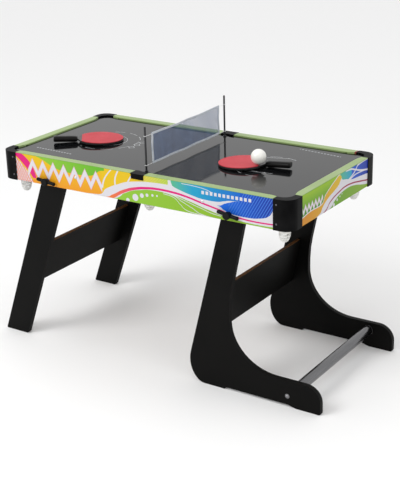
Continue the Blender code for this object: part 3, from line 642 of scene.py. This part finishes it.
def lacquered_handle():
    g = Graph("handle_lacquer", roughness=0.30, Specular_IOR_Level=0.16)
    grain = g.noise(60.0, 6.0, (3, 3, 1))
    g.colour(g.ramp(grain, 0.35, 0.65, srgb(8, 8, 9), srgb(18, 16, 15)))
    g.rough(grain * 0.12 + 0.24)
    g.bump(grain, 0.10, 0.0003)
    return g.material


def ball_material():
    g = Graph("ball_resin", roughness=0.12, Coat_Weight=0.5, Coat_Roughness=0.05)
    broad = g.noise(30.0, 3.0)
    g.colour(g.ramp(broad, 0.3, 0.7, (0.80, 0.79, 0.74), (0.87, 0.86, 0.82)))
    g.rough(g.noise(120.0, 3.0) * 0.08 + 0.10)
    g.bump(g.noise(500.0, 2.0), 0.01, 0.0001)
    return g.material


# ---------------------------------------------------------------- mesh helpers


def piece(name, vertices, faces, material, body, slot=None, smooth=True):
    mesh = bpy.data.meshes.new(name)
    mesh.from_pydata([tuple(v) for v in vertices], [], faces)
    mesh.validate()
    shape = bmesh.new()
    shape.from_mesh(mesh)
    bmesh.ops.recalc_face_normals(shape, faces=shape.faces)
    shape.to_mesh(mesh)
    shape.free()
    obj = bpy.data.objects.new(name, mesh)
    bpy.context.scene.collection.objects.link(obj)
    mesh.materials.append(material)
    if smooth:
        mesh.shade_smooth()
    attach(obj, body)
    return obj


def bevel(obj, width, segments=2, angle=40):
    edges = obj.modifiers.new("edges", "BEVEL")
    edges.width = width
    edges.segments = segments
    edges.limit_method = "ANGLE"
    edges.angle_limit = math.radians(angle)
    edges.harden_normals = True
    return obj


def ring_faces(rings, steps):
    """Faces between rings of vertices that follow one another, with both ends closed."""
    faces = []
    for ring in range(rings - 1):
        low = ring * steps
        high = low + steps
        for i in range(steps):
            j = (i + 1) % steps
            faces.append((low + i, low + j, high + j, high + i))
    last = (rings - 1) * steps
    return faces + [tuple(range(steps))[::-1], tuple(range(last, last + steps))]


def circle(centre, radius, steps):
    """Points round a level circle, the first repeated at the end."""
    angles = [2 * math.pi * i / steps for i in range(steps + 1)]
    return [centre + Vector((radius * math.cos(a), radius * math.sin(a), 0)) for a in angles]


def lathe(profile, turn, steps=40):
    """Vertices and faces of a solid of revolution about Z, moved by the matrix."""
    vertices = []
    for radius, height in profile:
        for i in range(steps):
            angle = 2 * math.pi * i / steps
            vertices.append(turn @ Vector((radius * math.cos(angle), radius * math.sin(angle), height)))
    return vertices, ring_faces(len(profile), steps)


def merge(*parts):
    vertices, faces = [], []
    for more, loops in parts:
        start = len(vertices)
        vertices += more
        faces += [tuple(start + i for i in loop) for loop in loops]
    return vertices, faces


def netting(grid, columns, rows, open_share, closed):
    """Flat yarn ribbons round the holes of a grid of points, given as grid(column, row)."""
    vertices, faces, index = [], [], {}

    def corner(c, r):
        key = (c % columns if closed else c, r)
        if key not in index:
            index[key] = len(vertices)
            vertices.append(grid(c, r))
        return index[key]

    for r in range(rows):
        for c in range(columns):
            loop = [corner(c, r), corner(c + 1, r), corner(c + 1, r + 1), corner(c, r + 1)]
            centre = sum((vertices[i] for i in loop), Vector()) / 4
            inner = len(vertices)
            vertices += [centre + (vertices[i] - centre) * open_share for i in loop]
            for k in range(4):
                m = (k + 1) % 4
                faces.append((loop[k], loop[m], inner + m, inner + k))
    return vertices, faces


def tube(points, radius, sides=8):
    """A round strand along points, closed at its ends."""
    vertices = []
    across = (points[1] - points[0]).orthogonal()
    for i, point in enumerate(points):
        along = (points[min(i + 1, len(points) - 1)] - points[max(i - 1, 0)]).normalized()
        across = (across - along * across.dot(along)).normalized()
        other = along.cross(across)
        for k in range(sides):
            angle = 2 * math.pi * k / sides
            vertices.append(point + (across * math.cos(angle) + other * math.sin(angle)) * radius)
    return vertices, ring_faces(len(points), sides)


# ---------------------------------------------------------------- nets


BAG_PROFILE = [
    (0.0275, 0.010), (0.0262, 0.067), (0.0240, 0.15), (0.0221, 0.245), (0.0207, 0.355),
    (0.0203, 0.475), (0.0205, 0.594), (0.0203, 0.71), (0.0193, 0.813), (0.0168, 0.888),
    (0.0130, 0.945), (0.0085, 0.979), (0.0042, 0.990),
]
BAG_COLUMNS = 18
BAG_REACH = 0.0281
HEM_RADIUS = 0.0272
KNOT = [(0.0001, 0.0003), (0.0036, 0.0006), (0.0046, 0.0018), (0.0040, 0.0032), (0.0001, 0.0038)]


def make_ball_net(name, yarn):
    """A knotted bag that hangs from a hem under its pocket and gathers in a knot at the bottom."""
    low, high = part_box(name)
    at_x = (low.x + high.x) / 2
    at_y = (low.y + high.y) / 2
    deep = high.z - low.z
    phase = at_x * 7 + at_y * 11

    def grid(c, r):
        radius, share = BAG_PROFILE[r]
        angle = 2 * math.pi * (c + r * 0.5) / BAG_COLUMNS
        ripple = 1 + 0.035 * math.sin(3 * angle + phase + r * 0.8)
        radius = min(radius * ripple, BAG_REACH)
        height = high.z - share * deep
        return Vector((at_x + radius * math.cos(angle), at_y + radius * math.sin(angle), height))

    bag = piece(name + "_mesh", *netting(grid, BAG_COLUMNS, len(BAG_PROFILE) - 1, 0.60, True), yarn,
                "table_box", "bag")
    solid = bag.modifiers.new("yarn", "SOLIDIFY")
    solid.thickness = 0.0006
    hem = tube(circle(Vector((at_x, at_y, high.z - 0.0017)), HEM_RADIUS, 24), 0.0010)
    knot = lathe(KNOT, Matrix.Translation((at_x, at_y, low.z)), 14)
    trim = piece(name + "_hem", *merge(hem, knot), yarn, "table_box", "bag")
    if name.endswith("middle"):
        for part in (bag, trim):
            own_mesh(part)
    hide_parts(name)


def make_ball_nets(yarn):
    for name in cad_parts:
        if name.startswith("ball_net_"):
            make_ball_net(name, yarn)


def net_point(share, level):
    """A point of the hanging net, by its share of the length and of the height."""
    slack = 0.0030 * level * 4 * share * (1 - share)
    sway = 0.0022 * math.sin(share * 17.0 + level * 2.0) * math.sin(math.pi * share)
    edge = 0.0016 * math.sin(level * 9.0) * (abs(2 * share - 1) ** 12)
    y = NET_NEAR + (NET_FAR - NET_NEAR) * share + edge
    z = NET_LOW + (NET_HIGH - NET_LOW) * level - slack
    return Vector((NET_STATION + sway, y, z))


def net_tape(name, samples, half, level, tape):
    """A folded tape over the net's edge, through points of the net."""
    depth = 0.0011
    vertices = []
    for share, height in samples:
        centre = net_point(share, height)
        for side, shift in ((-depth, -half), (depth, -half), (depth, half), (-depth, half)):
            offset = Vector((side, 0, shift)) if level else Vector((side, shift, 0))
            vertices.append(centre + offset)
    faces = ring_faces(len(samples), 4)
    return bevel(piece(name, vertices, faces, tape, "net_set", "tennis_net", smooth=False), 0.0005, 2)


def net_tie(name, side, height, yarn):
    """A short string from the net's corner to its post, with a loop round the post."""
    edge = side * (NET_FAR - 0.003)
    post = side * (POST_SIDE - POST_RADIUS - 0.0016)
    points = []
    for i in range(9):
        share = i / 8
        drop = 0.0012 * 4 * share * (1 - share)
        points.append(Vector((NET_STATION, edge + (post - edge) * share, height - drop)))
    around = circle(Vector((NET_STATION, side * POST_SIDE, height)), POST_RADIUS + 0.0010, 16)
    return piece(name, *merge(tube(points, 0.0008), tube(around, 0.0008)), yarn, "net_set", "tennis_net")


def make_tennis_net(mesh_yarn, tape, cord_yarn):
    """An open mesh between two tapes, tied to the posts by four short strings."""
    columns, rows = 108, 25
    shape = netting(lambda c, r: net_point(c / columns, r / rows), columns, rows, 0.79, False)
    net = piece("tennis_net_mesh", *shape, mesh_yarn, "net_set", "tennis_net")
    solid = net.modifiers.new("yarn", "SOLIDIFY")
    solid.thickness = 0.0007
    solid.offset = 0

    lengthwise = [0.004 + 0.992 * i / 48 for i in range(49)]
    upward = [0.06 + 0.88 * i / 16 for i in range(17)]
    tapes = [
        net_tape("net_tape_top", [(s, 0.970) for s in lengthwise], 0.0036, True, tape),
        net_tape("net_tape_bottom", [(s, 0.030) for s in lengthwise], 0.0036, True, tape),
        net_tape("net_tape_near", [(0.009, s) for s in upward], 0.0040, False, tape),
        net_tape("net_tape_far", [(0.991, s) for s in upward], 0.0040, False, tape),
    ]
    for word, side in FRONT_BACK:
        for level, height in (("low", NET_LOW + 0.003), ("high", NET_HIGH - 0.004)):
            net_tie(f"net_tie_{word}_{level}", side, height, cord_yarn)
    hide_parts("tennis_net")


# ---------------------------------------------------------------- knobs, paddles, ball


KNOB_AXIS = 0.0105
KNOB_HALF = 0.0428
KNOB_END = 0.0074
HUB = [
    (0.0001, 0.0008), (0.0100, 0.0008), (0.0096, 0.0040), (0.0098, 0.0070), (0.0126, 0.0120),
    (0.0136, 0.0170), (0.0138, 0.0215), (0.0132, 0.0236), (0.0118, 0.0246), (0.0060, 0.0243),
    (0.0001, 0.0240),
]
SADDLE = [
    (0.0001, -0.016), (0.0060, -0.0150), (0.0086, -0.008), (0.0094, 0.0), (0.0086, 0.008),
    (0.0060, 0.0150), (0.0001, 0.016),
]
STUD = [(0.0001, 0.0035), (0.0038, 0.0035), (0.0038, -0.0340), (0.0030, -0.0360), (0.0001, -0.0360)]


def knob_bar_profile():
    """The cross bar's radius along its length: waisted in the middle and round at both ends."""
    profile = []
    for i in range(33):
        share = -1 + i / 16
        waist = 0.0060 + 0.0015 * share * share
        past = max(0.0, (abs(share) * KNOB_HALF - KNOB_HALF + KNOB_END) / KNOB_END)
        profile.append((max(0.0001, waist * math.sqrt(max(0.0, 1 - past ** 2))), share * KNOB_HALF))
    return profile


def make_knob(word, hand, side, pivot, tilt, plastic, steel):
    """A moulded T-handle: a waisted bar across a hub, with a collar on the apron and a steel stud."""
    body = f"knob_{word}_{hand}"
    node = f"t_knob_{word}_{hand}"
    place = (
        Matrix.Translation((pivot[0], side * (SIDE + GAP), pivot[1]))
        @ Matrix.Rotation(-side * math.pi / 2, 4, "X")
        @ Matrix.Rotation(math.radians(tilt), 4, "Z")
    )
    lying = Matrix.Rotation(math.pi / 2, 4, "Y")
    bar = lathe(knob_bar_profile(), Matrix.Translation((0, 0, KNOB_AXIS)) @ lying, 28)
    saddle = lathe(SADDLE, Matrix.Translation((0, 0, KNOB_AXIS + 0.001)) @ lying, 28)
    vertices, faces = merge(bar, lathe(HUB, Matrix.Identity(4), 36), saddle)
    vertices = [place @ vertex for vertex in vertices]
    knob = piece(f"{node}_moulding", vertices, faces, plastic, body, "plastic")
    remesh = knob.modifiers.new("blend", "REMESH")
    remesh.mode = "VOXEL"
    remesh.voxel_size = 0.0009
    remesh.use_smooth_shade = True
    ease = knob.modifiers.new("ease", "SMOOTH")
    ease.factor = 0.6
    ease.iterations = 5
    stud = piece(f"{node}_stud", *lathe(STUD, place, 20), steel, body, "steel", smooth=False)
    bevel(stud, 0.0003)
    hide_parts(node)


def paddle_frame(x, y, heading):
    """From the paddle's own frame, blade centre at the origin, to where it lies on the board."""
    drop = GRIP_THICK / 2 - BLADE_THICK / 2 - RUBBER_THICK
    pitch = drop / (BLADE_LONG - HANDLE_START + 0.003)
    lift = BLADE_THICK / 2 + RUBBER_THICK + pitch * BLADE_LONG + 2 * GAP
    place = Matrix.Translation((x, y, BOARD_TOP + lift))
    return place @ Matrix.Rotation(math.radians(heading), 4, "Z") @ Matrix.Rotation(pitch, 4, "Y")


def make_paddle_handle(tag, place, lacquer):
    """An oval grip, waisted in the middle and flared at the butt."""
    stations = (
        (-0.0866, 0.0136, 0.0078),
        (-0.0880, 0.0154, 0.0094),
        (-0.0930, 0.0163, 0.0109),
        (-0.1050, 0.0165, 0.0113),
        (-0.1250, 0.0163, 0.0111),
        (-0.1450, 0.0165, 0.0111),
        (-0.1620, 0.0176, 0.0112),
        (-0.1715, 0.0186, 0.0110),
        (-0.1750, 0.0180, 0.0100),
        (-0.1766, 0.0164, 0.0084),
    )
    steps = 32
    vertices = []
    for along, half_wide, half_tall in stations:
        for i in range(steps):
            angle = 2 * math.pi * i / steps
            across = math.copysign(abs(math.cos(angle)) ** 0.8, math.cos(angle)) * half_wide
            up = math.copysign(abs(math.sin(angle)) ** 0.8, math.sin(angle)) * half_tall
            vertices.append(place @ Vector((along, across, up)))
    faces = ring_faces(len(stations), steps)
    grip = piece(f"paddle_{tag}_grip", vertices, faces, lacquer, f"paddle_{tag}", "grip")
    smooth = grip.modifiers.new("round", "SUBSURF")
    smooth.levels = 1
    smooth.render_levels = 1
    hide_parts(f"paddle_{tag}_handle")


def make_ball(resin):
    low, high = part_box("white_ball")
    centre = (low + high) / 2
    shape = bmesh.new()
    bmesh.ops.create_icosphere(shape, subdivisions=5, radius=BALL_RADIUS)
    vertices = [centre + v.co for v in shape.verts]
    faces = [tuple(v.index for v in f.verts) for f in shape.faces]
    shape.free()
    ball = piece("ball_polished", vertices, faces, resin, "ball", "ball")
    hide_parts("white_ball")


SCREW_HEAD = [
    (0.0001, 0.0014), (0.0018, 0.0013), (0.0030, 0.0009), (0.0034, 0.0002), (0.0034, -0.001),
    (0.0001, -0.001),
]


def make_cap_screws(steel):
    """Two screw heads on each corner cap's side face."""
    for word, side in FRONT_BACK:
        for hand, end in LEFT_RIGHT:
            corner = RIGHT_END if end > 0 else LEFT_END
            for level, height in (("high", 0.722), ("low", 0.656)):
                place = Matrix.Translation((corner - end * 0.054, side * (SIDE + 0.0030), height))
                head = lathe(SCREW_HEAD, place @ Matrix.Rotation(side * -math.pi / 2, 4, "X"), 20)
                piece(f"cap_screw_{word}_{hand}_{level}", *head, steel, "table_box", "steel")


# ---------------------------------------------------------------- CAD nodes' own materials


def node_looks(steel):
    """Materials by the start of the node's name. The first that fits is used."""
    black = moulded_plastic("black_moulding", srgb(6, 6, 7), 0.42, Specular_IOR_Level=0.05)
    leg = leg_board()
    red = (srgb(218, 62, 74), srgb(228, 76, 88), 0.42)
    dark = (srgb(24, 24, 25), srgb(32, 32, 33), 0.5)
    return (
        ("apron_screw", steel),
        ("apron_front", long_print("print_front", -1)),
        ("apron_back", long_print("print_back", 1)),
        ("apron_right", end_print("print_right", 1)),
        ("apron_left", end_print("print_left", -1)),
        ("bed_cloth", baize()),
        ("bed_", fibreboard()),
        ("rail_", rail_material()),
        ("corner_cap", black),
        ("pocket_casting", black),
        ("straight_leg", leg),
        ("l_leg", leg),
        ("cross_panel_left", panel_board("panel_left_board", *panel_edges("cross_panel_left", 0.3746))),
        ("cross_panel_right", panel_board("panel_right_board", *panel_edges("cross_panel_right", 0.1954))),
        ("leg_nut", steel),
        ("foot_bolt", metal("bolt_steel", (0.24, 0.24, 0.25), 0.35)),
        ("foot_tube", metal("dark_chrome", (0.15, 0.15, 0.155), 0.22, (1, 0.05, 1))),
        ("top_board", board_material()),
        ("net_post", moulded_plastic("post_black_paint", srgb(22, 23, 28), 0.30)),
        ("paddle_left_red", rubber_material("rubber_red", *red)),
        ("paddle_right_red", rubber_material("rubber_red_worn", *red)),
        ("paddle_left_black", rubber_material("rubber_black", *dark)),
        ("paddle_right_black", rubber_material("rubber_black_worn", *dark)),
        ("paddle_", moulded_plastic("blade_edge_tape", srgb(26, 26, 27), 0.35)),
    )


def paint_nodes(looks):
    for name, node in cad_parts.items():
        for prefix, material in looks:
            if name.startswith(prefix):
                node.data.materials.clear()
                node.data.materials.append(material)
                break


def round_moulded_edges():
    for prefix, width in (("rail_", 0.0006), ("corner_cap", 0.0012), ("pocket_casting", 0.0010)):
        for name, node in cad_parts.items():
            if name.startswith(prefix):
                bevel(node, width, 3, 30)


def panel_edges(node, lean):
    """A cross panel's lower and upper edge, as (x, z), from its box and its lean."""
    low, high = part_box(node)
    half = 0.006 / math.hypot(1.0, lean)
    rise = (high.z - low.z) / 2 - half * lean
    middle_x = (low.x + high.x) / 2
    middle_z = (low.z + high.z) / 2
    return (middle_x - lean * rise, middle_z - rise), (middle_x + lean * rise, middle_z + rise)


def main():
    steel = metal("zinc_steel", (0.55, 0.55, 0.56), 0.30)
    paint_nodes(node_looks(steel))
    round_moulded_edges()
    make_ball_nets(textile("bag_yarn", (0.70, 0.70, 0.67), (0.86, 0.86, 0.83)))
    make_tennis_net(
        textile("net_yarn", srgb(52, 84, 136), srgb(84, 116, 164), sheen=0.1),
        textile("net_tape", srgb(206, 216, 228), srgb(228, 234, 242)),
        textile("tie_yarn", (0.62, 0.63, 0.64), (0.78, 0.78, 0.78)),
    )
    handle_plastic = moulded_plastic("knob_moulding", srgb(7, 7, 8), 0.36, 500.0, Specular_IOR_Level=0.10)
    for word, hand, side, pivot, tilt in (
        ("front", "left", -1, LEFT_PIVOT, -7),
        ("front", "right", -1, RIGHT_PIVOT, -10),
        ("back", "left", 1, LEFT_PIVOT, 10),
        ("back", "right", 1, RIGHT_PIVOT, -6),
    ):
        make_knob(word, hand, side, pivot, tilt, handle_plastic, steel)
    lacquer = lacquered_handle()
    make_paddle_handle("left", paddle_frame(*LEFT_PADDLE), lacquer)
    make_paddle_handle("right", paddle_frame(*RIGHT_PADDLE), lacquer)
    make_ball(ball_material())
    make_cap_screws(metal("blackened_steel", (0.10, 0.10, 0.11), 0.35))


# ---------------------------------------------------------------- camera, floor and light


def make_camera():
    azimuth, elevation, roll = (math.radians(a) for a in (34.0499, 21.1064, -1.57861))
    forward = Vector((-math.sin(azimuth) * math.cos(elevation), math.cos(azimuth) * math.cos(elevation),
                      -math.sin(elevation)))
    right = Vector((math.cos(azimuth), math.sin(azimuth), 0))
    up = right.cross(forward)
    across = right * math.cos(roll) + up * math.sin(roll)
    upward = up * math.cos(roll) - right * math.sin(roll)
    data = bpy.data.cameras.new("camera")
    data.sensor_fit = "VERTICAL"
    data.sensor_height = 36
    data.lens = 84.70
    camera = bpy.data.objects.new("camera", data)
    bpy.context.scene.collection.objects.link(camera)
    turn = Matrix((across, upward, -forward)).transposed().to_4x4()
    camera.matrix_world = Matrix.Translation((LEFT_END + 2.9378, -SIDE - 3.0626, 1.9379)) @ turn
    bpy.context.scene.camera = camera


def make_floor():
    shape = bmesh.new()
    bmesh.ops.create_grid(shape, x_segments=2, y_segments=2, size=30.0)
    mesh = bpy.data.meshes.new("floor")
    shape.to_mesh(mesh)
    shape.free()
    floor = bpy.data.objects.new("floor", mesh)
    floor.location.z = -0.0005
    bpy.context.scene.collection.objects.link(floor)
    g = Graph("floor_pale", roughness=0.9)
    g.colour((0.90, 0.90, 0.90))
    mesh.materials.append(g.material)


def area_light(name, place, aim, size, power):
    data = bpy.data.lights.new(name, "AREA")
    data.shape = "DISK"
    data.size = size
    data.energy = power
    light = bpy.data.objects.new(name, data)
    light.location = place
    light.rotation_euler = (Vector(aim) - Vector(place)).to_track_quat("-Z", "Y").to_euler()
    bpy.context.scene.collection.objects.link(light)


def make_light():
    world = bpy.data.worlds.new("studio")
    world.use_nodes = True
    sky = world.node_tree.nodes["Background"]
    sky.inputs["Color"].default_value = (1.0, 1.0, 1.0, 1.0)
    sky.inputs["Strength"].default_value = 0.95
    bpy.context.scene.world = world
    area_light("key", (-1.6, -3.2, 3.4), (0, 0, 0.5), 2.4, 85)
    area_light("fill", (3.4, -1.4, 2.2), (0, 0, 0.5), 2.0, 12)


make_camera()
make_floor()
make_light()
main()
bpy.context.scene.view_settings.view_transform = "Standard"
